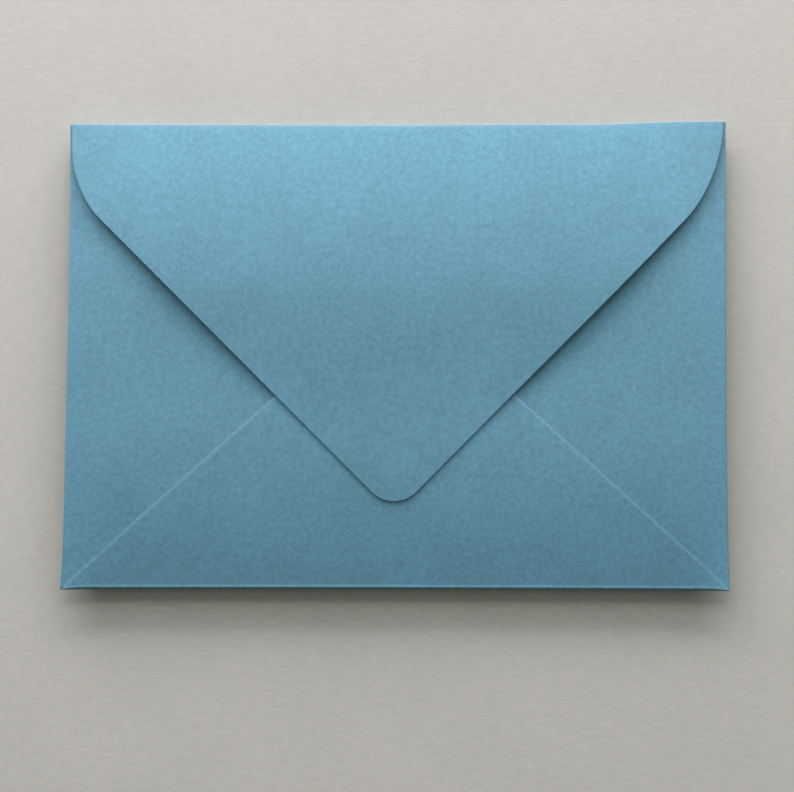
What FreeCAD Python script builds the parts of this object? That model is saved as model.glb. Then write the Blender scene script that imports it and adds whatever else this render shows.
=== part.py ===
"""A closed paper envelope, one folded sheet, lying on its address side with its flaps up.

The origin is under the middle of the envelope, on the surface that it lies on. X runs along the long side,
Y towards the fold of the top flap and Z up. All sizes are in millimetres.

The front panel is flat. Each flap comes off it round a bend that is a half tube. The side flaps and the
bottom flap rise from their bends to the level middle of the back, the bottom flap gummed on top of the side
flaps. The top flap is loose: it arches over the back, and its tip comes down on the bottom flap.
"""

import FreeCAD, Part
import os
import Sketcher

SIZES = [
    ("long_side", 162, "outer length, X"),
    ("short_side", 114, "outer width, Y"),
    ("paper", 0.2, "thickness of the sheet"),
    ("side_fold_height", 1.8, "outer height of the two side folds"),
    ("top_fold_height", 2.2, "outer height of the fold at the top flap"),
    ("corner_relief", 0.3, "notch between a side flap and the bends beside it"),
    ("back_rise", 1, "how far the level middle of the back stands above the side folds"),
    ("bottom_run", 20, "from the bottom bend to the level middle of the back"),
    ("side_run", 20, "from a side bend to the level middle of the back"),
    ("top_run", 24, "from the top bend to the level middle of the back"),
    ("bottom_flap_margin", 40.7, "from the top edge to where the bottom flap's gummed edges would meet"),
    ("bottom_flap_tip_radius", 40, "rounding of the bottom flap's tip"),
    ("side_flap_tip_gap", 22, "between the blunt ends of the two side flaps"),
    ("side_flap_tip_width", 18, "width of a side flap's blunt end"),
    ("side_flap_tip_drop", 10, "how far that end lies below the middle of the envelope, Y"),
    ("side_flap_tip_radius", 10, "rounding of that end's two corners"),
    ("flap_margin", 17.4, "from the bottom edge to where the top flap's straight edges would meet"),
    ("flap_shoulder_depth", 16.2, "from the top edge to where those edges would meet the flap's sides"),
    ("flap_tip_radius", 7.7, "rounding of the top flap's tip"),
    ("flap_shoulder_radius", 28, "rounding of the top flap's two shoulders"),
    ("flap_crown_height", 4.4, "height of the top flap's level crown above the table"),
    ("flap_crown_distance", 38, "from the top bend to the near side of that crown"),
    ("flap_crown_width", 8, "width of that crown"),
    ("flap_gap", 0.05, "gap between the top flap's tip and the bottom flap"),
]

# Where the flat front panel ends and the bends begin
BOTTOM_FOLD_HEIGHT = "(sizes.side_fold_height + sizes.paper)"
SIDE_BEND_X = "(sizes.long_side / 2 - sizes.side_fold_height / 2)"
BOTTOM_BEND_Y = f"(-sizes.short_side / 2 + {BOTTOM_FOLD_HEIGHT} / 2)"
TOP_BEND_Y = "(sizes.short_side / 2 - sizes.top_fold_height / 2)"
SIDE_FLAP_LOW_Y = f"({BOTTOM_BEND_Y} + sizes.corner_relief)"
SIDE_FLAP_HIGH_Y = f"({TOP_BEND_Y} - sizes.corner_relief)"

# The upper face of the side flaps, on which the bottom flap is gummed
BACK_EDGE_Z = "sizes.side_fold_height"
BACK_MIDDLE_Z = f"({BACK_EDGE_Z} + sizes.back_rise)"

# Where the straight edges of the two large flaps would meet without their round tips
BOTTOM_FLAP_POINT_Y = "(sizes.short_side / 2 - sizes.bottom_flap_margin)"
FLAP_POINT_Y = "(-sizes.short_side / 2 + sizes.flap_margin)"

# Taller than the envelope, for the solids that only cut it
REACH = "2 * sizes.flap_crown_height"


def make_sizes(doc):
    """The sheet of driving sizes: a name, a plain number with that alias, and what it means."""
    sheet = doc.addObject("Spreadsheet::Sheet", "sizes")
    for row, (alias, value, meaning) in enumerate(SIZES, start=1):
        sheet.set(f"A{row}", alias)
        sheet.set(f"B{row}", str(value))
        sheet.setAlias(f"B{row}", alias)
        sheet.set(f"C{row}", meaning)
    doc.recompute()


def new_sketch(body, name, plane_role):
    """An empty sketch on one of the body's own origin planes."""
    sketch = body.newObject("Sketcher::SketchObject", name)
    plane = next(item for item in body.Origin.OriginFeatures if item.Role == plane_role)
    sketch.AttachmentSupport = [(plane, "")]
    sketch.MapMode = "FlatFace"
    return sketch


def place_of(sketch, corner):
    """The present place of a corner that is given as two expressions."""
    across, up = corner
    return FreeCAD.Vector(sketch.evalExpression(across), sketch.evalExpression(up), 0)


def bind(sketch, kind, name, expression, *geometry):
    """A named dimension that follows an expression."""
    value = sketch.evalExpression(expression)
    index = sketch.addConstraint(Sketcher.Constraint(kind, *geometry, value))
    sketch.renameConstraint(index, name)
    sketch.setExpression(f"Constraints.{name}", expression)


def pin(sketch, name, edge, end, corner):
    """Two dimensions from the origin to one end of an edge."""
    bind(sketch, "DistanceX", f"{name}_across", corner[0], -1, 1, edge, end)
    bind(sketch, "DistanceY", f"{name}_up", corner[1], -1, 1, edge, end)


def join(sketch, edge, end, other_edge, other_end):
    """Two ends brought together."""
    sketch.addConstraint(Sketcher.Constraint("Coincident", edge, end, other_edge, other_end))


def add_pad(body, sketch, length, both_ways):
    """The sketch drawn out to a solid."""
    pad = body.newObject("PartDesign::Pad", f"{body.Name}_pad")
    pad.Profile = sketch
    pad.Midplane = both_ways
    pad.setExpression("Length", length)
    return pad


def add_crown_arc(sketch, foot, crown_end):
    """An arc that rises from its foot and runs level into the crown's end."""
    across = abs(crown_end.x - foot.x)
    up = crown_end.y - foot.y
    radius = (across**2 + up**2) / (2 * up)
    centre = FreeCAD.Vector(crown_end.x, crown_end.y - radius, 0)
    circle = Part.Circle(centre, FreeCAD.Vector(0, 0, 1), radius)
    angles = sorted((circle.parameter(foot), circle.parameter(crown_end)))
    return sketch.addGeometry(Part.ArcOfCircle(circle, *angles))


def arched_space(doc, name, plane_role, length, arch, lift):
    """All that lies under a layer of paper whose section is a level crown between two arcs.

    The arch is its start, the near and the far end of its crown, and its finish, each across and up. All of
    it is raised by lift.
    """
    body = doc.addObject("PartDesign::Body", name)
    sketch = new_sketch(body, f"{name}_section", plane_role)
    start, near, far, finish = [(across, f"{up} + {lift}") for across, up in arch]
    floor = f"-{REACH} + {lift}"
    foot_of_finish = (finish[0], floor)
    foot_of_start = (start[0], floor)
    start_place, near_place, far_place, finish_place, finish_foot_place, start_foot_place = [
        place_of(sketch, corner) for corner in (start, near, far, finish, foot_of_finish, foot_of_start)
    ]
    rise = add_crown_arc(sketch, start_place, near_place)
    crown = sketch.addGeometry(Part.LineSegment(near_place, far_place))
    fall = add_crown_arc(sketch, finish_place, far_place)
    finish_wall = sketch.addGeometry(Part.LineSegment(finish_place, finish_foot_place))
    base = sketch.addGeometry(Part.LineSegment(finish_foot_place, start_foot_place))
    start_wall = sketch.addGeometry(Part.LineSegment(start_foot_place, start_place))
    join(sketch, rise, 1, crown, 1)
    join(sketch, crown, 2, fall, 2)
    join(sketch, fall, 1, finish_wall, 1)
    join(sketch, finish_wall, 2, base, 1)
    join(sketch, base, 2, start_wall, 1)
    join(sketch, start_wall, 2, rise, 2)
    sketch.addConstraint(Sketcher.Constraint("Vertical", rise, 3, crown, 1))
    sketch.addConstraint(Sketcher.Constraint("Vertical", fall, 3, crown, 2))
    pin(sketch, "near", crown, 1, near)
    pin(sketch, "far", crown, 2, far)
    pin(sketch, "finish", finish_wall, 1, finish)
    pin(sketch, "foot_of_finish", base, 1, foot_of_finish)
    pin(sketch, "foot_of_start", base, 2, foot_of_start)
    pin(sketch, "start", start_wall, 2, start)
    add_pad(body, sketch, length, True)
    return body


def plan_block(doc, name, corners, rounds):
    """An upright block over a flap's outline, with some of its corners rounded to a radius."""
    body = doc.addObject("PartDesign::Body", name)
    sketch = new_sketch(body, f"{name}_outline", "XY_Plane")
    places = [place_of(sketch, corner) for corner in corners]
    edges = [
        sketch.addGeometry(Part.LineSegment(place, places[(number + 1) % len(places)]))
        for number, place in enumerate(places)
    ]
    for number, corner in enumerate(corners):
        join(sketch, edges[number - 1], 2, edges[number], 1)
        pin(sketch, f"corner_{number}", edges[number], 1, corner)
    feature = add_pad(body, sketch, REACH, False)
    for radius, numbers in rounds:
        doc.recompute()
        names = [upright_edge(feature.Shape, places[number]) for number in numbers]
        rounding = body.newObject("PartDesign::Fillet", f"{name}_rounding")
        rounding.Base = (feature, names)
        rounding.setExpression("Radius", radius)
        feature = rounding
    return body


def upright_edge(shape, place):
    """The name of the upright edge over a corner of the plan."""
    for number, edge in enumerate(shape.Edges, start=1):
        ends = [FreeCAD.Vector(vertex.X, vertex.Y, 0) for vertex in edge.Vertexes]
        if all(end.isEqual(place, 1e-6) for end in ends):
            return f"Edge{number}"
    raise RuntimeError(f"no upright edge at {place}")


def half_tube(doc, name, height, start, along, outward, length):
    """A bend of the paper: half a tube as tall as its fold, its open side towards the envelope."""
    pieces = []
    for kind, radius in (("outside", f"{height} / 2"), ("inside", f"{height} / 2 - sizes.paper")):
        rod = doc.addObject("Part::Cylinder", f"{name}_{kind}")
        rod.Angle = 180
        rod.setExpression("Radius", radius)
        rod.setExpression("Height", length)
        rod.Placement.Rotation = FreeCAD.Rotation(outward.cross(along), outward, along, "ZYX")
        for axis, place in zip("xyz", start + (f"{height} / 2",)):
            rod.setExpression(f"Placement.Base.{axis}", place)
        pieces.append(rod)
    return difference(doc, name, *pieces)


def difference(doc, name, base, tool):
    """The base without the tool."""
    cut = doc.addObject("Part::Cut", name)
    cut.Base = base
    cut.Tool = tool
    return cut


def common(doc, name, shapes):
    """What all the shapes share."""
    shared = doc.addObject("Part::MultiCommon", name)
    shared.Shapes = shapes
    return shared


def fused(doc, name, shapes):
    """All the shapes as one."""
    fuse = doc.addObject("Part::MultiFuse", name)
    fuse.Shapes = shapes
    return fuse


def make_front_panel(doc):
    """The flat address side, between the four bends."""
    panel = doc.addObject("Part::Box", "front_panel")
    panel.setExpression("Length", f"2 * {SIDE_BEND_X}")
    panel.setExpression("Width", f"{TOP_BEND_Y} - {BOTTOM_BEND_Y}")
    panel.setExpression("Height", "sizes.paper")
    panel.setExpression("Placement.Base.x", f"-{SIDE_BEND_X}")
    panel.setExpression("Placement.Base.y", BOTTOM_BEND_Y)
    return panel


def back_along_y(doc, name, lift):
    """The space under the back, seen from the side: up from the bottom bend, level, down to the top bend."""
    arch = [
        (BOTTOM_BEND_Y, BACK_EDGE_Z),
        (f"({BOTTOM_BEND_Y} + sizes.bottom_run)", BACK_MIDDLE_Z),
        (f"({TOP_BEND_Y} - sizes.top_run)", BACK_MIDDLE_Z),
        (TOP_BEND_Y, BACK_EDGE_Z),
    ]
    return arched_space(doc, name, "YZ_Plane", "sizes.long_side", arch, lift)


def back_along_x(doc, name, lift):
    """The space under the back, seen from below: up from one side bend, level, down to the other."""
    arch = [
        (f"-{SIDE_BEND_X}", BACK_EDGE_Z),
        (f"(-{SIDE_BEND_X} + sizes.side_run)", BACK_MIDDLE_Z),
        (f"({SIDE_BEND_X} - sizes.side_run)", BACK_MIDDLE_Z),
        (SIDE_BEND_X, BACK_EDGE_Z),
    ]
    return arched_space(doc, name, "XZ_Plane", "sizes.short_side", arch, lift)


def make_side_flaps(doc, back, ends):
    """The two side flaps with their bends, a right one and its mirror image."""
    outline = [
        (SIDE_BEND_X, SIDE_FLAP_LOW_Y),
        (SIDE_BEND_X, SIDE_FLAP_HIGH_Y),
        ("sizes.side_flap_tip_gap / 2", "-sizes.side_flap_tip_drop + sizes.side_flap_tip_width / 2"),
        ("sizes.side_flap_tip_gap / 2", "-sizes.side_flap_tip_drop - sizes.side_flap_tip_width / 2"),
    ]
    block = plan_block(doc, "side_flap_block", outline, [("sizes.side_flap_tip_radius", (2, 3))])
    upper = common(doc, "side_flap_upper", [block, back, ends])
    under_back = back_along_y(doc, "back_underside", "(-sizes.paper)")
    under_ends = back_along_x(doc, "back_ends_underside", "(-sizes.paper)")
    lower = common(doc, "side_flap_lower", [under_back, under_ends])
    layer = difference(doc, "side_flap_layer", upper, lower)
    bend = half_tube(
        doc,
        "side_bend",
        "sizes.side_fold_height",
        (SIDE_BEND_X, SIDE_FLAP_LOW_Y),
        FreeCAD.Vector(0, 1, 0),
        FreeCAD.Vector(1, 0, 0),
        f"{SIDE_FLAP_HIGH_Y} - {SIDE_FLAP_LOW_Y}",
    )
    right = fused(doc, "right_side_flap", [bend, layer])
    left = doc.addObject("Part::Mirroring", "left_side_flap")
    left.Source = right
    left.Normal = FreeCAD.Vector(1, 0, 0)
    return [right, left]


def make_bottom_flap(doc, back):
    """The bottom flap on top of the side flaps, with its bend."""
    outline = [
        (f"-{SIDE_BEND_X}", BOTTOM_BEND_Y),
        (SIDE_BEND_X, BOTTOM_BEND_Y),
        ("0", BOTTOM_FLAP_POINT_Y),
    ]
    block = plan_block(doc, "bottom_flap_block", outline, [("sizes.bottom_flap_tip_radius", (2,))])
    raised = back_along_y(doc, "bottom_flap_top", "sizes.paper")
    layer = difference(doc, "bottom_flap_layer", common(doc, "bottom_flap_upper", [block, raised]), back)
    bend = half_tube(
        doc,
        "bottom_bend",
        BOTTOM_FOLD_HEIGHT,
        (f"-{SIDE_BEND_X}", BOTTOM_BEND_Y),
        FreeCAD.Vector(1, 0, 0),
        FreeCAD.Vector(0, -1, 0),
        f"2 * {SIDE_BEND_X}",
    )
    return [layer, bend]


def make_top_flap(doc):
    """The loose top flap, arched over the back, with its bend."""
    arch = [
        (FLAP_POINT_Y, f"({BACK_MIDDLE_Z} + sizes.paper + sizes.flap_gap)"),
        (
            f"({TOP_BEND_Y} - sizes.flap_crown_distance - sizes.flap_crown_width)",
            "(sizes.flap_crown_height - sizes.paper)",
        ),
        (f"({TOP_BEND_Y} - sizes.flap_crown_distance)", "(sizes.flap_crown_height - sizes.paper)"),
        (TOP_BEND_Y, "(sizes.top_fold_height - sizes.paper)"),
    ]
    under = arched_space(doc, "top_flap_underside", "YZ_Plane", "sizes.long_side", arch, "0")
    raised = arched_space(doc, "top_flap_top", "YZ_Plane", "sizes.long_side", arch, "sizes.paper")
    shoulder_y = "(sizes.short_side / 2 - sizes.flap_shoulder_depth)"
    outline = [
        (SIDE_BEND_X, TOP_BEND_Y),
        (f"-{SIDE_BEND_X}", TOP_BEND_Y),
        (f"-{SIDE_BEND_X}", shoulder_y),
        ("0", FLAP_POINT_Y),
        (SIDE_BEND_X, shoulder_y),
    ]
    rounds = [("sizes.flap_shoulder_radius", (2, 4)), ("sizes.flap_tip_radius", (3,))]
    block = plan_block(doc, "top_flap_block", outline, rounds)
    layer = difference(doc, "top_flap_layer", common(doc, "top_flap_upper", [block, raised]), under)
    bend = half_tube(
        doc,
        "top_bend",
        "sizes.top_fold_height",
        (f"-{SIDE_BEND_X}", TOP_BEND_Y),
        FreeCAD.Vector(1, 0, 0),
        FreeCAD.Vector(0, 1, 0),
        f"2 * {SIDE_BEND_X}",
    )
    return [layer, bend]


def check(doc, envelope):
    """Stops where an object has failed or the folded sheet isn't one sound solid."""
    for item in doc.Objects:
        if "Invalid" in item.State or "Error" in item.State:
            raise RuntimeError(f"{item.Label} could not be made")
    shape = envelope.Shape
    if shape.isNull() or not shape.isValid() or len(shape.Solids) != 1:
        raise RuntimeError("the envelope isn't one sound solid")


def main():
    doc = FreeCAD.newDocument("paper_envelope")
    make_sizes(doc)
    back = back_along_y(doc, "back", "0")
    ends = back_along_x(doc, "back_ends", "0")
    pieces = [make_front_panel(doc)]
    pieces += make_side_flaps(doc, back, ends)
    pieces += make_bottom_flap(doc, back)
    pieces += make_top_flap(doc)
    envelope = fused(doc, "envelope", pieces)
    envelope.Label = "envelope"
    doc.recompute()
    check(doc, envelope)
    os.makedirs("parts", exist_ok=True)
    envelope.Shape.exportStep(os.path.join("parts", f"{envelope.Label}.step"))
    box = envelope.Shape.BoundBox
    print(f"{envelope.Label}: {box.XLength:.2f} x {box.YLength:.2f} x {box.ZLength:.2f} mm,", end=" ")
    print(f"{envelope.Shape.Volume:.0f} mm3, {len(envelope.Shape.Faces)} faces")


main()
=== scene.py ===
"""A closed paper envelope on a pale table, lying on its address side with its loose flap up.

The sheet is cut flat and then folded by formula, so that its grain, creases and cut edges follow the paper.
Sizes are in metres, and written with MM where they were measured in millimetres.
"""

import functools
import math

import bmesh
import bpy
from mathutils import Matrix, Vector


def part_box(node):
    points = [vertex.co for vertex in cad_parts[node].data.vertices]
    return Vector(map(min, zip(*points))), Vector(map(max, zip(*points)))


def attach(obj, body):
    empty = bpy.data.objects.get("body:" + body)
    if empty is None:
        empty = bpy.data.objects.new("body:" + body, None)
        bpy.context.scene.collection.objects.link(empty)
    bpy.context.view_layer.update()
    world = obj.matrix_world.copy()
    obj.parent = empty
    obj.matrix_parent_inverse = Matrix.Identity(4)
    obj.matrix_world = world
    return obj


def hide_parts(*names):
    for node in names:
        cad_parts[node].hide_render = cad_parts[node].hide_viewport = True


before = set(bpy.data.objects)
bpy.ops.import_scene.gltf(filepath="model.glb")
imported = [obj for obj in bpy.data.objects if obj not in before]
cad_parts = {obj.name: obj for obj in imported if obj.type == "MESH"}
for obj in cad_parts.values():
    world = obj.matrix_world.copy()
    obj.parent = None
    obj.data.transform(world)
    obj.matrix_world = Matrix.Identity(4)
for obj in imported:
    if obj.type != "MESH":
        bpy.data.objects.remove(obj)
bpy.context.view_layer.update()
FAR_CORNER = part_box("envelope")[1]

bl_info = {
    "name": "Paper envelope",
    "version": (1, 0, 0),
    "blender": (4, 5, 0),
    "location": "3D View > Sidebar > Envelope",
    "description": "Folds a blue paper envelope and sets it on a pale table",
    "category": "Add Mesh",
}

MM = 0.001


# Settings


def length(name, description, default):
    """A size that a user may change."""
    return bpy.props.FloatProperty(
        name=name, description=description, default=default, unit="LENGTH", precision=5
    )


def power(name, description, default):
    """A lamp's power."""
    return bpy.props.FloatProperty(name=name, description=description, default=default, unit="POWER")


def factor(name, description, default):
    """A share from nothing to all."""
    return bpy.props.FloatProperty(
        name=name, description=description, default=default, subtype="FACTOR", min=0, max=1
    )


def colour(name, description, default):
    """A linear colour."""
    return bpy.props.FloatVectorProperty(
        name=name, description=description, default=default, size=3, subtype="COLOR", min=0, max=1
    )


class EnvelopeSheetSettings(bpy.types.PropertyGroup):
    """The cut of the sheet and how it is folded."""

    half_long: length("Half length", "From the middle to a side fold", FAR_CORNER.x)
    half_short: length("Half width", "From the middle to the bottom fold", FAR_CORNER.y)
    paper: length("Paper", "Thickness of the sheet", 0.14 * MM)
    upper_corner_height: length("Upper corners", "Height of the side layer at the upper corners", 1.3 * MM)
    lower_corner_height: length("Lower corners", "Height of the side layer at the lower corners", 1.8 * MM)
    side_height: length("Side fold height", "Height of a side fold at its middle", 2.35 * MM)
    bottom_height: length("Bottom height", "Height of the side layer beside the bottom fold", 1.6 * MM)
    top_height: length("Top height", "Height of the side layer beside the top fold", 1.15 * MM)
    upper_run: length("Upper run", "How far from an upper corner a side fold keeps growing", 60 * MM)
    lower_run: length("Lower run", "How far from a lower corner a side fold keeps growing", 40 * MM)
    back_height: length("Back height", "Height of the side flaps in the middle of the back", 2.7 * MM)
    fold_run: length("Fold run", "How far from a corner the bottom and top folds keep growing", 14 * MM)
    side_run: length("Side run", "How far from a side fold the back keeps rising", 18 * MM)
    bottom_run: length("Bottom run", "How far from the bottom fold the back keeps rising", 42 * MM)
    top_run: length("Top run", "How far from the top fold the back keeps rising", 46 * MM)
    crest: length("Crest", "From the bottom fold to where the back starts to rise", 1.2 * MM)
    side_radius: length("Side crease", "Radius of the paper's middle in a side fold", 0.09 * MM)
    bottom_radius: length("Bottom crease", "Radius of the paper's middle in the bottom fold", 0.62 * MM)
    top_radius: length("Top crease", "Radius of the paper's middle in the top fold", 0.09 * MM)
    lift_run: length("Lift run", "How far from a crease the front panel leaves the table", 11 * MM)
    waist: length("Waist", "How far the middle of a side fold lies inwards", 0.52 * MM)
    left_flare: length("Left flare", "How far the lower left corner stands out", 0.5 * MM)
    right_flare: length("Right flare", "How far the lower right corner stands out", 0.1 * MM)
    lean: length("Lean", "How far the upper half lies to the right", 0.25 * MM)
    bottom_point: length("Bottom flap point", "Where the bottom flap's gummed edges would meet", 16.25 * MM)
    bottom_root: length("Bottom flap root", "Half the width of the bottom flap at its fold", 81.1 * MM)
    bottom_tip_radius: length("Bottom flap tip", "Rounding of the bottom flap's tip", 40 * MM)
    side_tip_gap: length("Side flap gap", "Between the blunt ends of the side flaps", 22 * MM)
    side_tip_width: length("Side flap end", "Width of a side flap's blunt end", 18 * MM)
    side_tip_drop: length("Side flap drop", "How far that end lies below the middle", 10 * MM)
    side_tip_radius: length("Side flap corner", "Rounding of that end's corners", 10 * MM)
    flap_left: length("Flap root, left", "From the middle to the left end of the flap's root", 80.5 * MM)
    flap_right: length("Flap root, right", "From the middle to the right end of the flap's root", 80.25 * MM)
    flap_taper: length("Flap taper", "How much narrower each side is at its shoulder", 0.65 * MM)
    flap_point: length("Flap point", "Where the top flap's straight edges would meet", -38.8 * MM)
    flap_shift: length("Flap shift", "How far that point lies to the left", 0.3 * MM)
    left_shoulder: length("Left shoulder", "Where the left edge would meet the flap's side", 40.0 * MM)
    right_shoulder: length("Right shoulder", "Where the right edge would meet the flap's side", 42.3 * MM)
    flap_tip_radius: length("Flap tip", "Rounding of the top flap's tip", 7.7 * MM)
    left_shoulder_radius: length("Left rounding", "Rounding of the top flap's left shoulder", 23 * MM)
    right_shoulder_radius: length("Right rounding", "Rounding of the top flap's right shoulder", 31 * MM)
    slant: length("Slant", "How far the right end of the top fold lies above the left one", 1.05 * MM)
    dip: length("Dip", "How far the middle of the top fold lies below its ends", 0.14 * MM)
    sag: length("Sag", "How far the bottom fold lies below its place", 0.2 * MM)
    flap_fold_height: length("Flap fold height", "Height of the top fold at its middle", 1.6 * MM)
    flap_crown_height: length("Flap crown height", "Height of the top flap's crown", 3.5 * MM)
    shoulder_droop: length("Shoulder droop", "How far the top flap's shoulders hang", 0.35 * MM)
    droop_width: length("Droop width", "How far from its sides the top flap hangs", 26 * MM)
    droop_run: length("Droop run", "From the top fold to where the shoulders hang fully", 16 * MM)
    pinch_run: length("Pinch run", "How far from the top fold the flap's sides stay low", 22 * MM)
    crown_distance: length("Crown distance", "From the top fold to the flap's crown", 44 * MM)
    landing: length("Landing", "From the top fold to where the flap lies on the bottom flap", 78 * MM)
    lip_width: length("Lip", "Width of the pressed margin of the bottom flap's gummed edges", 0.7 * MM)
    lip_depth: length("Lip depth", "How much thinner that margin is at its edge", 0.012 * MM)
    grid: length("Grid", "Distance between the sheet's mesh lines", 2 * MM)


class PaperSettings(bpy.types.PropertyGroup):
    """The finish of the paper, with the colours of its painted shade and painted highlight."""

    base: colour("Paper", "Colour of the paper", (0.099, 0.272, 0.368))
    # Worn fibres along the bottom and top folds, and a painted highlight along the gummed edges, take this
    # colour.
    worn_and_highlight: colour("Crease", "Colour of the fibres that show where the paper is creased", (0.30, 0.50, 0.60))
    # The cut colour is painted shade: it darkens the cut edges' lit walls and the dark line under the top
    # flap's edge.
    cut: colour("Cut", "Colour of the dark, sheer cut edges", (0.012, 0.085, 0.160))
    # The speck colour also gives the painted shade on the crests of the top and side folds.
    speck: colour("Speck", "Colour of the dark specks in the pulp", (0.05, 0.13, 0.18))
    mottle: factor("Mottle", "How much the colour varies from spot to spot", 0.16)
    tooth: length("Tooth", "Height of the paper's rough grain", 0.012 * MM)


class StageSettings(bpy.types.PropertyGroup):
    """The table, the light and the camera."""

    table: colour("Table", "Colour of the table", (0.500, 0.494, 0.446))
    window_power: power("Window", "Power of the low window light", 34)
    side_power: power("Side windows", "Power of each of the low lights at its sides", 14)
    upper_power: power("Upper window", "Power of the paler light above it", 14.8)
    beside_power: power("Room light", "Power of each of the dim lights at the left and the right", 2.5)
    fill: factor("Fill", "Strength of the light from all round", 0.162)


# Shaders

TOOTH_SIZE = 0.55 * MM
GRAIN_SIZE = 0.22 * MM
MOTTLE_SIZE = 1.2 * MM
CLOUD_SIZE = 14 * MM
SPECK_SPACING = 3.2 * MM
TABLE_GRAIN_SIZE = 1.1 * MM
TABLE_GRAIN_DRAWN = (0.35, 1, 1)
TABLE_GRAIN_HEIGHT = 0.006 * MM
TABLE_CLOUD_SIZE = 30 * MM

# How much of its own colour each mark gives the pulp: the painted shade on the cut edges, and the specks
CUT_SHADE_SHARE = 0.75
SPECK_SHARE = 0.6

# Streaks along the folds and the gummed margins: painted shade on the top and side crests, worn fibres beside
# the bottom and top folds, and a painted highlight along the gummed edges. For each, the strength, how far
# from its line it stays full, and how far it reaches
TOP_CREST_SHADE = (0.8, 0.05 * MM, 0.4 * MM)
SIDE_CREST_SHADE = (0.5, 0.05 * MM, 0.4 * MM)
TOP_WEAR = (0.1, 0.4 * MM, 2 * MM)
BOTTOM_WEAR = (0.25, 0.1 * MM, 0.5 * MM)
BOTTOM_WEAR_OFFSET = 0.12 * MM
SEAM_HIGHLIGHT = (0.36, 0.1 * MM, 1.1 * MM)


class Value:
    """A socket that takes part in sums: each operator adds its Math node."""

    def __init__(self, graph, socket):
        self.graph = graph
        self.socket = socket

    def math(self, operation, *inputs):
        return self.graph.add("ShaderNodeMath", {"operation": operation}, dict(enumerate(inputs)))

    def __add__(self, other):
        return self.math("ADD", self, other)

    def __sub__(self, other):
        return self.math("SUBTRACT", self, other)

    def __rsub__(self, other):
        return self.math("SUBTRACT", other, self)

    def __mul__(self, other):
        return self.math("MULTIPLY", self, other)

    def __abs__(self):
        return self.math("ABSOLUTE", self)

    __radd__ = __add__
    __rmul__ = __mul__


class Graph:
    """The nodes of one material or world."""

    def __init__(self, tree):
        self.tree = tree
        tree.nodes.clear()

    def add(self, kind, settings=None, inputs=None, output=0):
        """A node with its settings, then the values or links of its sockets. Returns one of its outputs."""
        node = self.tree.nodes.new(kind)
        for name, setting in (settings or {}).items():
            setattr(node, name, setting)
        for name, given in (inputs or {}).items():
            socket = self.find(node.inputs, name)
            if isinstance(given, Value):
                self.tree.links.new(given.socket, socket)
            else:
                socket.default_value = given
        return Value(self, self.find(node.outputs, output)) if node.outputs else None

    def find(self, sockets, name):
        """A socket by its number, or by its identifier or name."""
        if isinstance(name, int):
            return sockets[name]
        return next(socket for socket in sockets if name in (socket.identifier, socket.name))

    def fade(self, value, start, end):
        """0 at start and 1 at end, smoothly."""
        settings = {"interpolation_type": "SMOOTHSTEP"}
        inputs = {"Value": value, "From Min": start, "From Max": end}
        return self.add("ShaderNodeMapRange", settings, inputs)

    def band(self, distance, inner, outer):
        """1 within the inner distance of a place and 0 beyond the outer one, smoothly."""
        return 1 - self.fade(distance, inner, outer)

    def streak(self, distance, strength, full, reach):
        """A streak along a line, for the distance from that line."""
        return strength * self.band(distance, full, reach)

    def mix(self, share, first, second):
        """Two colours mixed by a share."""
        inputs = {"Factor_Float": share, "A_Color": first, "B_Color": second}
        return self.add("ShaderNodeMix", {"data_type": "RGBA"}, inputs, "Result_Color")

    def bump(self, depth, height):
        """A grain whose height goes from nothing to that depth."""
        inputs = {"Strength": 1, "Distance": depth, "Height": height}
        return self.add("ShaderNodeBump", None, inputs, "Normal")

    def noise(self, place, size, detail, roughness):
        """Soft cloudy noise whose lumps have about that size."""
        inputs = {"Vector": place, "Scale": 1 / size, "Detail": detail, "Roughness": roughness}
        return self.add("ShaderNodeTexNoise", None, inputs, "Fac")


def rgba(tone):
    """A colour setting as a socket takes it."""
    return (*tone, 1)


def new_material(name):
    """A material and its empty graph."""
    material = bpy.data.materials.new(name)
    material.use_nodes = True
    return material, Graph(material.node_tree)


def pulp_colour(graph, look, place, grain):
    """Dyed pulp: mottled, and with a few dark specks."""
    mottle = graph.noise(place, MOTTLE_SIZE, 4, 0.65)
    clouds = graph.noise(place, CLOUD_SIZE, 3, 0.5)
    depth = 0.55 * (mottle - 0.5) + 0.4 * (grain - 0.5) + 0.15 * (clouds - 0.5)
    shade = graph.fade(depth, -0.16, 0.16)
    base = Vector(look.base)
    pulp = graph.mix(shade, rgba(base * (1 - look.mottle)), rgba(base * (1 + look.mottle)))

    # About a quarter of the cells have a speck at their middle
    cells = {"Vector": place, "Scale": 1 / SPECK_SPACING}
    spot = graph.add("ShaderNodeTexVoronoi", None, cells, "Distance")
    cell_colour = graph.add("ShaderNodeTexVoronoi", None, cells, "Color")
    chance = graph.add("ShaderNodeSeparateColor", None, {0: cell_colour})
    speck = graph.band(spot, 0.03, 0.07) * graph.fade(chance, 0.72, 0.74)
    return graph.mix(speck * SPECK_SHARE, pulp, rgba(look.speck))


def worn_and_highlight_places(graph, folds, across, along):
    """How much the paper's surface is broken along its bottom and top folds, plus a painted highlight along
    its gummed margins.
    """
    bottom = abs(along + (folds.bottom_start + folds.bottom_arc + BOTTOM_WEAR_OFFSET))
    top = abs(along - (folds.top_start + folds.top_arc))
    total = graph.streak(bottom, *BOTTOM_WEAR) + graph.streak(top, *TOP_WEAR)
    # Painted highlight along the bottom flap's gummed edges, where their cut edges catch the light.
    a, b, c = folds.seam_line()
    seam = abs(a * abs(across) - b * along - c)
    beyond_fold = graph.fade(0 - along, folds.bottom_start, folds.bottom_start + 1 * MM)
    return total + graph.streak(seam, *SEAM_HIGHLIGHT) * beyond_fold


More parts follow.
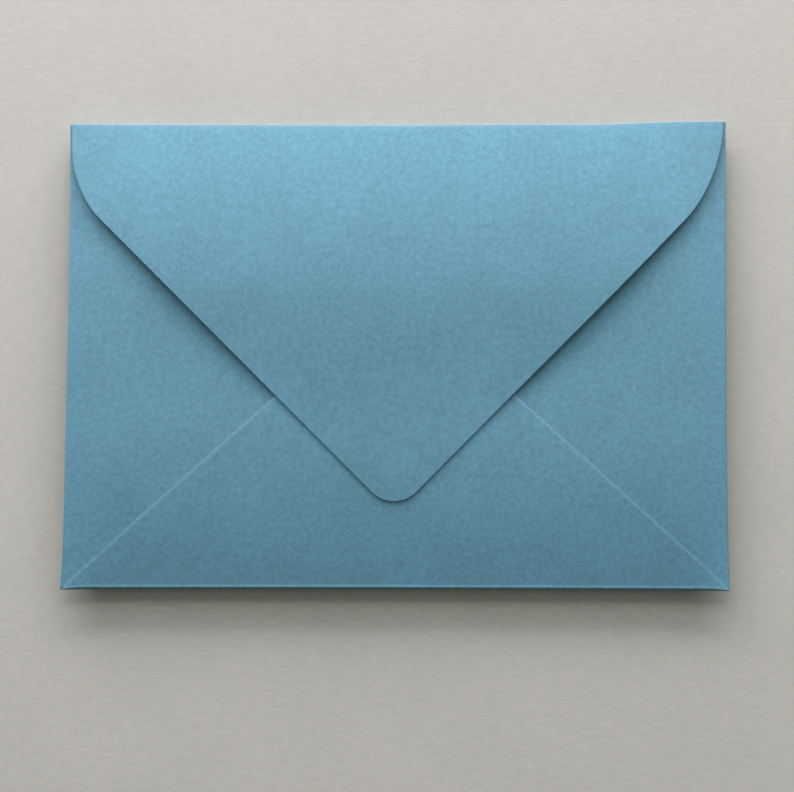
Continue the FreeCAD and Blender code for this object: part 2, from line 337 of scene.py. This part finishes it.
def crease_colour(graph, look, folds, pulp, tooth):
    """The pulp, with painted shade on the sharp folds' crests, paler worn fibres along the bottom and top
    folds, and a painted highlight along the gummed edges.
    """
    flat = graph.add("ShaderNodeUVMap", {"uv_map": FLAT_MAP})
    across = graph.add("ShaderNodeSeparateXYZ", None, {0: flat}, "X")
    along = graph.add("ShaderNodeSeparateXYZ", None, {0: flat}, "Y")
    # Painted shade: the crests of the top and side folds are darkened towards the speck colour, to dim the
    # light they catch.
    top = abs(along - (folds.top_start + folds.top_arc * CREST_SHARE))
    side = abs(abs(across) - (folds.side_start + folds.side_arc * CREST_SHARE))
    crest = graph.streak(top, *TOP_CREST_SHADE) + graph.streak(side, *SIDE_CREST_SHADE)
    tone = graph.mix(crest, pulp, rgba(look.speck))
    # The wear and the painted highlight show on the tooth's peaks.
    wear_and_highlight_share = worn_and_highlight_places(graph, folds, across, along) * graph.fade(tooth, 0.25, 0.7)
    return graph.mix(wear_and_highlight_share, tone, rgba(look.worn_and_highlight))


def paper_material(name, look, folds, cut_edge):
    """Uncoated dyed paper with a rough tooth. Its cut edges are painted dark, as painted shade, and don't
    shine.
    """
    material, graph = new_material(name)
    place = graph.add("ShaderNodeTexCoord", output="Object")
    tooth = graph.noise(place, TOOTH_SIZE, 4, 0.6)
    grain = graph.noise(place, GRAIN_SIZE, 3, 0.6)
    pulp = pulp_colour(graph, look, place, grain)
    if cut_edge:
        # Painted shade: the cut edges are mixed towards the dark cut colour.
        tone = graph.mix(CUT_SHADE_SHARE, pulp, rgba(look.cut))
    else:
        tone = crease_colour(graph, look, folds, pulp, tooth)
    height = 0.7 * tooth + 0.3 * grain
    bump = graph.bump(look.tooth, height)
    shader = graph.add(
        "ShaderNodeBsdfPrincipled",
        None,
        {
            "Base Color": tone,
            "Roughness": 0.66 + 0.14 * grain,
            "Specular IOR Level": 0.1 if cut_edge else 0.5,
            "Sheen Weight": 0.0 if cut_edge else 0.12,
            "Sheen Roughness": 0.5,
            "Normal": bump,
        },
    )
    graph.add("ShaderNodeOutputMaterial", None, {"Surface": shader})
    return material


# The folded sheet

FLAT_MAP = "flat_sheet"  # the map that keeps each point's place on the flat sheet
BEND_STEPS = 14  # mesh lines over a bend
ROUND_STEPS = 14  # segments of a rounded corner of a flap
CUT_BEVEL = 0.02 * MM
NEAR = 0.05 * MM  # a mesh line snaps to points within this distance
NOTCH = 0.15 * MM  # how far the side flaps stay clear of the corners
CREST_LINES = [0.2 * MM, 0.4 * MM, 0.6 * MM, 0.8 * MM, 1.1 * MM, 1.5 * MM, 2.2 * MM]  # beyond a bend
SEAM_LINES = [0.2 * MM, 0.4 * MM, 0.6 * MM, 0.8 * MM, 1.1 * MM]  # inside a gummed edge
SHARP_ANGLE = math.radians(32)  # edges steeper than this look sharp

# How far the outline turns where it is rounded
FLAP_TIP_TURN = math.radians(90)
SHOULDER_TURN = math.radians(45)
SIDE_TIP_TURN = math.radians(55)

CREST_SHARE = 0.6  # where the outermost line of a sharp fold lies in its bend
CORNER_LEAD = 12 * MM  # how far beyond its ends a side fold would still fall
LANDING_LEAD = 6 * MM  # how far before the crown the flap starts to come down

# Heights between the middles of two layers, in thicknesses of the paper
GUMMED_STEP = 1.05
LANDED_STEP = 1.08
CORNER_STEP = 1.5


def share_of(distance, run):
    """How much of a run a distance takes, from 0 to 1."""
    return min(max(distance / run, 0), 1)


def ease(distance, run):
    """A rise from 0 to 1 over a run, steepest at its start."""
    share = share_of(distance, run)
    return share * (2 - share)


def smooth(value, start, end):
    """0 up to start and 1 from end on, without a kink."""
    share = share_of(value - start, end - start)
    return share * share * (3 - 2 * share)


class Folds:
    """Where a point of the flat sheet goes when it is folded.

    Flat places are measured from the middle of the front panel, with the inner face of the paper up. Heights
    are those of the middle of the paper's thickness.
    """

    def __init__(self, sheet):
        self.sheet = sheet
        self.half_paper = sheet.paper / 2
        self.side_start, self.side_arc = self.bend_of(sheet.half_long, sheet.side_radius)
        self.bottom_start, self.bottom_arc = self.bend_of(sheet.half_short, sheet.bottom_radius)
        self.top_start, self.top_arc = self.bend_of(sheet.half_short, sheet.top_radius)

    def bend_of(self, half, radius):
        """Where a fold's bend starts on the flat sheet, and how much paper it takes."""
        return half - self.half_paper - radius, math.pi * radius

    def seam_line(self):
        """The bottom flap's gummed edge on the flat sheet: a * x - b * y = c for the right one."""
        sheet = self.sheet
        rise = sheet.bottom_point + self.bottom_start
        size = math.hypot(rise, sheet.bottom_root)
        a, b = rise / size, sheet.bottom_root / size
        flat_y = -(self.bottom_start + self.bottom_arc)
        return a, b, a * sheet.bottom_root - b * flat_y

    def side_layer(self, x, y):
        """Height of the side flaps' layer over a place of the plan."""
        sheet = self.sheet
        upper, lower = sheet.upper_corner_height, sheet.lower_corner_height
        from_side = sheet.half_long - abs(x)
        from_bottom = sheet.half_short + y
        from_top = sheet.half_short - y
        side_fold = sheet.side_height
        side_fold -= (side_fold - upper) * (1 - smooth(from_top, -CORNER_LEAD, sheet.upper_run))
        side_fold -= (side_fold - lower) * (1 - smooth(from_bottom, -CORNER_LEAD, sheet.lower_run))
        bottom_fold = lower + (sheet.bottom_height - lower) * ease(from_side, sheet.fold_run)
        top_fold = upper + (sheet.top_height - upper) * ease(from_side, sheet.fold_run)
        inward = ease(from_side, sheet.side_run)
        steeper = 0.2 * (1 - smooth(from_side, 2 * MM, 22 * MM))
        up = ease(from_bottom - sheet.crest, sheet.bottom_run * (1 - steeper))
        down = ease(from_top, sheet.top_run)
        height = (1 - inward) * side_fold + (1 - up) * bottom_fold + (1 - down) * top_fold
        height += inward * up * down * sheet.back_height
        height -= (1 - inward) * ((1 - up) * lower + (1 - down) * upper)
        return height - self.half_paper

    def bottom_layer(self, x, y):
        """Height of the bottom flap, gummed on the side flaps."""
        return self.side_layer(x, y) + self.sheet.paper * GUMMED_STEP

    def top_layer(self, x, y):
        """Height of the loose top flap: up from its fold to a crown, and down to its tip."""
        sheet = self.sheet
        from_side = sheet.half_long - abs(x)
        corner = sheet.upper_corner_height + CORNER_STEP * sheet.paper
        distance = sheet.half_short - y
        pinch = (1 - ease(from_side, sheet.fold_run)) * (1 - ease(distance, sheet.pinch_run))
        fold = sheet.flap_fold_height - (sheet.flap_fold_height - corner) * pinch
        crown = sheet.crown_distance
        rise = (sheet.flap_crown_height - sheet.flap_fold_height) * ease(distance, crown)
        droop = (1 - ease(from_side, sheet.droop_width)) * ease(distance, sheet.droop_run)
        free = fold + rise - sheet.shoulder_droop * droop - self.half_paper
        landed = self.bottom_layer(x, y) + sheet.paper * LANDED_STEP
        return free + (landed - free) * smooth(distance, crown - LANDING_LEAD, sheet.landing)

    def panel(self, x, y):
        """Height of the front panel: flat on the table, and up towards the creases."""
        sheet = self.sheet
        lift = 0
        for distance, top, radius in (
            (self.side_start - abs(x), self.side_layer(sheet.half_long, y), sheet.side_radius),
            (self.bottom_start + y, self.bottom_layer(x, -sheet.half_short), sheet.bottom_radius),
            (self.top_start - y, self.top_layer(x, sheet.half_short), sheet.top_radius),
        ):
            near = 1 - share_of(distance, sheet.lift_run)
            lift = max(lift, (top - self.half_paper - 2 * radius) * near * near)
        return self.half_paper + lift

    @functools.lru_cache(maxsize=None)
    def side_bend(self, way, y):
        """Outermost place, foot and radius of a side fold, a little hollow and flared at its lower corner."""
        sheet = self.sheet
        along = y / sheet.half_short
        low = 1 - share_of(sheet.half_short + y, sheet.fold_run)
        flare = sheet.right_flare if way > 0 else sheet.left_flare
        out = sheet.half_long - self.half_paper - sheet.waist * (1 - along * along) + flare * low * low
        foot = self.panel(self.side_start, y)
        return out, foot, (self.side_layer(sheet.half_long, y) - foot) / 2

    @functools.lru_cache(maxsize=None)
    def bottom_bend(self, x):
        """Outermost place, foot and radius of the bottom fold."""
        half = self.sheet.half_short
        foot = self.panel(x, -self.bottom_start)
        return half - self.half_paper, foot, (self.bottom_layer(x, -half) - foot) / 2

    @functools.lru_cache(maxsize=None)
    def top_bend(self, x):
        """Outermost place, foot and radius of the top fold."""
        half = self.sheet.half_short
        foot = self.panel(x, self.top_start)
        return half - self.half_paper, foot, (self.top_layer(x, half) - foot) / 2

    def round_bend(self, travel, arc, out, foot, radius):
        """Place and height of a point that has travelled over a bend's arc, and what is left to travel."""
        turn = math.pi * min(travel / arc, 1)
        place = out - radius + radius * math.sin(turn)
        return place, foot + radius * (1 - math.cos(turn)), max(travel - arc, 0)

    def between_bends(self, x, v):
        """The panel and the side flaps reach from the bottom bend to the top bend, however tight they are."""
        if v > 0:
            out, _, radius = self.top_bend(x)
            return v * (out - radius) / self.top_start
        out, _, radius = self.bottom_bend(x)
        return v * (out - radius) / self.bottom_start

    def skewed(self, x, y, z):
        """The folds aren't quite square: the top one dips and rises to the right, and the bottom one sags."""
        sheet = self.sheet
        share = y / sheet.half_short
        right = x / sheet.half_long
        if y > 0:
            # The top fold rises in two steps, the larger one near its right end
            rise = 0.25 * smooth(x, 0, 35 * MM) + 0.75 * smooth(x, 45 * MM, 73 * MM)
            y += (sheet.slant * rise - sheet.dip * (1 - right**6)) * share * share
        else:
            # The bottom fold sags most at its left corner, and least a little right of its middle
            y -= sheet.sag * share * share * (0.55 - 0.625 * right + 0.875 * right * right)
        x += sheet.lean * smooth(share, -0.45, 0.45)
        return Vector((x, y, z))

    def fold(self, u, v):
        """Folded place of the middle of the paper, for a place on the flat sheet."""
        if v < -self.bottom_start:
            y, z, beyond = self.round_bend(-v - self.bottom_start, self.bottom_arc, *self.bottom_bend(u))
            if beyond:
                y -= beyond
                z = self.bottom_layer(u, -y) - self.lip(u, v) / 2
            return self.skewed(u, -y, z)
        if v > self.top_start:
            y, z, beyond = self.round_bend(v - self.top_start, self.top_arc, *self.top_bend(u))
            if beyond:
                y -= beyond
                z = self.top_layer(u, y)
            return self.skewed(u, y, z)
        y = self.between_bends(u, v)
        way = math.copysign(1, u)
        out, foot, radius = self.side_bend(way, y)
        if abs(u) <= self.side_start:
            x = u * (out - radius) / self.side_start
            return self.skewed(x, y, self.panel(u, y))
        x, z, beyond = self.round_bend(abs(u) - self.side_start, self.side_arc, out, foot, radius)
        if beyond:
            x -= beyond
            y = self.between_bends(x, v)
            z = self.side_layer(x, y)
        return self.skewed(way * x, y, z)

    def lip(self, u, v):
        """How much thinner the paper is pressed at the bottom flap's gummed edges."""
        if v > -(self.bottom_start + self.bottom_arc / 2):
            return 0
        a, b, c = self.seam_line()
        inside = c - (a * abs(u) - b * v)
        return self.sheet.lip_depth * smooth(inside, self.sheet.lip_width, 0)


def cut_blank(bm, folds):
    """The flat sheet: the front panel and its four flaps, with their rounded tips."""
    sheet = folds.sheet
    left, right = -folds.side_start, folds.side_start
    low, high = -folds.bottom_start, folds.top_start

    def corner(x, y):
        return bm.verts.new((x, y, 0))

    bottom = [corner(-sheet.bottom_root, low), corner(sheet.bottom_root, low)]
    right_side = [corner(right, low + NOTCH), corner(right, high - NOTCH)]
    top = [corner(sheet.flap_right, high), corner(-sheet.flap_left, high)]
    left_side = [corner(left, high - NOTCH), corner(left, low + NOTCH)]
    bm.faces.new(bottom + right_side + top + left_side)

    far_low = low - folds.bottom_arc
    bottom_far = [corner(-sheet.bottom_root, far_low), corner(sheet.bottom_root, far_low)]
    bottom_tip = corner(0, far_low - (sheet.bottom_point - low))
    bm.faces.new([bottom[1], bottom[0], bottom_far[0], bottom_tip, bottom_far[1]])

    far_high = high + folds.top_arc
    shoulders = [
        corner(sheet.flap_taper - sheet.flap_left, far_high + high - sheet.left_shoulder),
        corner(sheet.flap_right - sheet.flap_taper, far_high + high - sheet.right_shoulder),
    ]
    flap_tip = corner(-sheet.flap_shift, far_high + (high - sheet.flap_point))
    bm.faces.new([top[1], top[0], shoulders[1], flap_tip, shoulders[0]])

    reach = folds.side_start * 2 + folds.side_arc - sheet.side_tip_gap / 2
    tips = []
    for way, root in ((1, right_side), (-1, left_side[::-1])):
        far = way * (folds.side_start + folds.side_arc)
        foot, head = corner(far, low + NOTCH), corner(far, high - NOTCH)
        ends = [
            corner(way * reach, -sheet.side_tip_drop + sheet.side_tip_width / 2),
            corner(way * reach, -sheet.side_tip_drop - sheet.side_tip_width / 2),
        ]
        outline = [root[1], root[0], foot, ends[1], ends[0], head]
        bm.faces.new(outline if way > 0 else outline[::-1])
        tips += ends

    def round_off(points, radius, turn):
        bmesh.ops.bevel(
            bm,
            geom=points,
            offset=radius * math.tan(turn / 2),
            offset_type="OFFSET",
            segments=ROUND_STEPS,
            profile=0.5,
            affect="VERTICES",
            material=-1,
        )

    half_turn = math.atan2(folds.bottom_start + sheet.bottom_point, sheet.bottom_root)
    round_off([bottom_tip], sheet.bottom_tip_radius, 2 * half_turn)
    round_off([flap_tip], sheet.flap_tip_radius, FLAP_TIP_TURN)
    round_off([shoulders[0]], sheet.left_shoulder_radius, SHOULDER_TURN)
    round_off([shoulders[1]], sheet.right_shoulder_radius, SHOULDER_TURN)
    round_off(tips, sheet.side_tip_radius, SIDE_TIP_TURN)


def rule_lines(bm, folds):
    """Mesh lines across the sheet, close together over the bends and along the gummed margins."""
    sheet = folds.sheet

    def cut(place, normal, faces=None):
        chosen = faces if faces is not None else bm.faces[:]
        geom = set(chosen)
        for face in chosen:
            geom.update(face.edges)
            geom.update(face.verts)
        bmesh.ops.bisect_plane(bm, geom=list(geom), dist=NEAR, plane_co=place, plane_no=normal)

    def spread(start, end):
        count = max(round((end - start) / sheet.grid), 1)
        return [start + (end - start) * number / count for number in range(count + 1)]

    def bend_lines(start, arc):
        lines = [start + arc * number / BEND_STEPS for number in range(BEND_STEPS + 1)]
        return lines + [start + arc + step for step in CREST_LINES]

    side = bend_lines(folds.side_start, folds.side_arc)
    bottom = bend_lines(folds.bottom_start, folds.bottom_arc)
    top = bend_lines(folds.top_start, folds.top_arc)
    reach = folds.side_start * 2 + folds.side_arc
    xs = spread(-folds.side_start, folds.side_start) + spread(max(side), reach)[1:] + side
    xs += [-x for x in spread(max(side), reach)[1:] + side]
    far_low = -max(bottom) - folds.bottom_start - sheet.bottom_point
    far_high = max(top) + folds.top_start - sheet.flap_point
    ys = spread(-folds.bottom_start, folds.top_start) + spread(far_low, -max(bottom)) + [-y for y in bottom]
    ys += top + spread(max(top), far_high)
    for x in xs:
        cut((x, 0, 0), (1, 0, 0))
    for y in ys:
        cut((0, y, 0), (0, 1, 0))
    a, b, c = folds.seam_line()
    root = -folds.bottom_start - folds.bottom_arc
    for way in (1, -1):
        for step in SEAM_LINES:
            bottom_flap = [face for face in bm.faces if face.calc_center_median().y < root]
            cut((way * (c - step) / a, 0, 0), (way * a, -b, 0), bottom_flap)


def give_thickness(bm, paper):
    """Both faces of the paper and its cut edge, which gets a fine bevel and the second material."""
    bmesh.ops.recalc_face_normals(bm, faces=bm.faces[:])
    bmesh.ops.solidify(bm, geom=bm.faces[:], thickness=paper)
    middle = (min(vert.co.z for vert in bm.verts) + max(vert.co.z for vert in bm.verts)) / 2
    bmesh.ops.translate(bm, verts=bm.verts[:], vec=(0, 0, -middle))
    bmesh.ops.recalc_face_normals(bm, faces=bm.faces[:])
    for face in bm.faces:
        face.material_index = 0 if abs(face.normal.z) > 0.5 else 1
    rim = [edge for edge in bm.edges if len({face.material_index for face in edge.link_faces}) == 2]
    bmesh.ops.bevel(
        bm,
        geom=rim,
        offset=CUT_BEVEL,
        offset_type="OFFSET",
        segments=1,
        profile=0.5,
        affect="EDGES",
        material=1,
    )


def fold_blank(bm, folds):
    """Keeps each point's flat place as its map, then moves it to its folded place."""
    uv = bm.loops.layers.uv.new(FLAT_MAP)
    for face in bm.faces:
        for loop in face.loops:
            loop[uv].uv = loop.vert.co.xy
    step = 0.01 * MM  # either way, to find the folded paper's normal
    for vert in bm.verts:
        u, v, depth = vert.co
        depth *= 1 - folds.lip(u, v) / folds.sheet.paper
        along_u = folds.fold(u + step, v) - folds.fold(u - step, v)
        along_v = folds.fold(u, v + step) - folds.fold(u, v - step)
        vert.co = folds.fold(u, v) + along_u.cross(along_v).normalized() * depth


def finish_mesh(bm, name, materials):
    """The mesh as a new object, smooth but for its sharp edges."""
    mesh = bpy.data.meshes.new(name)
    bm.to_mesh(mesh)
    bm.free()
    mesh.shade_smooth()
    mesh.set_sharp_from_angle(angle=SHARP_ANGLE)
    for material in materials:
        mesh.materials.append(material)
    piece = bpy.data.objects.new(name, mesh)
    bpy.context.collection.objects.link(piece)
    return piece


class ENVELOPE_OT_fold_sheet(bpy.types.Operator):
    """Cuts the blue sheet, folds its four flaps and lays it on its address side"""

    bl_idname = "envelope.fold_sheet"
    bl_label = "Fold the sheet"

    def execute(self, context):
        sheet = context.scene.envelope_sheet
        look = context.scene.envelope_paper
        folds = Folds(sheet)
        bm = bmesh.new()
        cut_blank(bm, folds)
        rule_lines(bm, folds)
        give_thickness(bm, sheet.paper)
        fold_blank(bm, folds)
        paper = paper_material("blue_paper", look, folds, False)
        cut = paper_material("blue_paper_cut", look, folds, True)
        piece = finish_mesh(bm, "envelope_sheet", [paper, cut])
        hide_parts("envelope")
        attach(piece, "root")
        return {"FINISHED"}


# The stage

CAMERA_PLACE = (1.35 * MM, -20.68 * MM, 270.93 * MM)
CAMERA_TURN = (math.radians(2.257), math.radians(0.217), math.radians(0.189))
CAMERA_LENS = 50

# Each light's name, the setting that holds its power, its width and height in metres, and its azimuth and
# elevation in degrees
LIGHTS = (
    ("window", "window_power", 0.88, 0.165, 5, 6.4),
    ("left_window", "side_power", 0.55, 0.165, 37, 6.4),
    ("right_window", "side_power", 0.55, 0.165, -29, 6.4),
    ("upper_window", "upper_power", 1.8, 0.38, 5, 20),
    ("left_room", "beside_power", 0.9, 0.3, 72, 15),
    ("right_room", "beside_power", 0.9, 0.3, -72, 15),
)
LIGHT_DISTANCE = 1.15
LIGHT_TONE = (1.0, 0.98, 1.03)
ROOM_TONE = (0.96, 1.0, 0.86)
BACKDROP_TONE = (0.80, 0.80, 0.77)
TABLE_HALF = 3
TABLE_GAP = 0.01 * MM


def table_material(name, tone):
    """Pale matt board with a faint grain, drawn out from left to right."""
    material, graph = new_material(name)
    place = graph.add("ShaderNodeTexCoord", output="Object")
    drawn = graph.add("ShaderNodeMapping", None, {"Vector": place, "Scale": TABLE_GRAIN_DRAWN}, "Vector")
    grain = graph.noise(drawn, TABLE_GRAIN_SIZE, 4, 0.6)
    clouds = graph.noise(place, TABLE_CLOUD_SIZE, 3, 0.5)
    tone = Vector(tone)
    shade = graph.fade(0.7 * grain + 0.3 * clouds, 0.35, 0.65)
    board = graph.mix(shade, rgba(tone * 0.96), rgba(tone * 1.04))
    bump = graph.bump(TABLE_GRAIN_HEIGHT, grain)
    inputs = {"Base Color": board, "Roughness": 0.9, "Specular IOR Level": 0.2, "Normal": bump}
    shader = graph.add("ShaderNodeBsdfPrincipled", None, inputs)
    graph.add("ShaderNodeOutputMaterial", None, {"Surface": shader})
    return material


def add_light(name, strength, width, height, azimuth, elevation):
    """A soft light that faces the envelope. Azimuth is from +Y towards -X."""
    data = bpy.data.lights.new(name, "AREA")
    data.shape = "RECTANGLE"
    data.size = width
    data.size_y = height
    data.energy = strength
    data.color = LIGHT_TONE
    lamp = bpy.data.objects.new(name, data)
    level = math.cos(elevation)
    direction = Vector((-math.sin(azimuth) * level, math.cos(azimuth) * level, math.sin(elevation)))
    lamp.location = direction * LIGHT_DISTANCE
    lamp.rotation_euler = direction.to_track_quat("Z", "Y").to_euler()
    lamp.visible_camera = False
    bpy.context.collection.objects.link(lamp)


class ENVELOPE_OT_set_stage(bpy.types.Operator):
    """Lays the pale table under the envelope and adds the soft light and the camera above it"""

    bl_idname = "envelope.set_stage"
    bl_label = "Set the stage"

    def execute(self, context):
        scene = context.scene
        stage = scene.envelope_stage
        bm = bmesh.new()
        bmesh.ops.create_grid(bm, x_segments=1, y_segments=1, size=TABLE_HALF)
        bmesh.ops.translate(bm, verts=bm.verts[:], vec=(0, 0, -TABLE_GAP))
        floor = finish_mesh(bm, "table", [table_material("pale_table", stage.table)])

        for name, setting, width, height, azimuth, elevation in LIGHTS:
            strength = getattr(stage, setting)
            add_light(name, strength, width, height, math.radians(azimuth), math.radians(elevation))

        world = bpy.data.worlds.new("soft_room")
        world.use_nodes = True
        graph = Graph(world.node_tree)
        seen = graph.add("ShaderNodeLightPath", output="Is Camera Ray")
        room = graph.add("ShaderNodeBackground", None, {"Color": rgba(ROOM_TONE), "Strength": stage.fill})
        backdrop = graph.add("ShaderNodeBackground", None, {"Color": rgba(BACKDROP_TONE), "Strength": 1})
        sky = graph.add("ShaderNodeMixShader", None, {0: seen, 1: room, 2: backdrop})
        graph.add("ShaderNodeOutputWorld", None, {"Surface": sky})
        scene.world = world

        data = bpy.data.cameras.new("camera")
        data.lens = CAMERA_LENS
        camera = bpy.data.objects.new("camera", data)
        camera.location = CAMERA_PLACE
        camera.rotation_euler = CAMERA_TURN
        context.collection.objects.link(camera)
        scene.camera = camera
        scene.view_settings.view_transform = "Standard"
        return {"FINISHED"}


class ENVELOPE_PT_panel(bpy.types.Panel):
    """The steps and the sizes of the envelope"""

    bl_idname = "ENVELOPE_PT_panel"
    bl_label = "Paper envelope"
    bl_space_type = "VIEW_3D"
    bl_region_type = "UI"
    bl_category = "Envelope"

    def draw(self, context):
        for operator in OPERATORS:
            self.layout.operator(operator.bl_idname)
        scene = context.scene
        for group in (scene.envelope_sheet, scene.envelope_paper, scene.envelope_stage):
            for name in group.__annotations__:
                self.layout.prop(group, name)


OPERATORS = (ENVELOPE_OT_fold_sheet, ENVELOPE_OT_set_stage)
CLASSES = (EnvelopeSheetSettings, PaperSettings, StageSettings, *OPERATORS, ENVELOPE_PT_panel)


def register():
    for item in CLASSES:
        bpy.utils.register_class(item)
    bpy.types.Scene.envelope_sheet = bpy.props.PointerProperty(type=EnvelopeSheetSettings)
    bpy.types.Scene.envelope_paper = bpy.props.PointerProperty(type=PaperSettings)
    bpy.types.Scene.envelope_stage = bpy.props.PointerProperty(type=StageSettings)


def unregister():
    del bpy.types.Scene.envelope_stage
    del bpy.types.Scene.envelope_paper
    del bpy.types.Scene.envelope_sheet
    for item in reversed(CLASSES):
        bpy.utils.unregister_class(item)


def main():
    register()
    bpy.ops.envelope.fold_sheet()
    bpy.ops.envelope.set_stage()


if __name__ == "__main__":
    main()
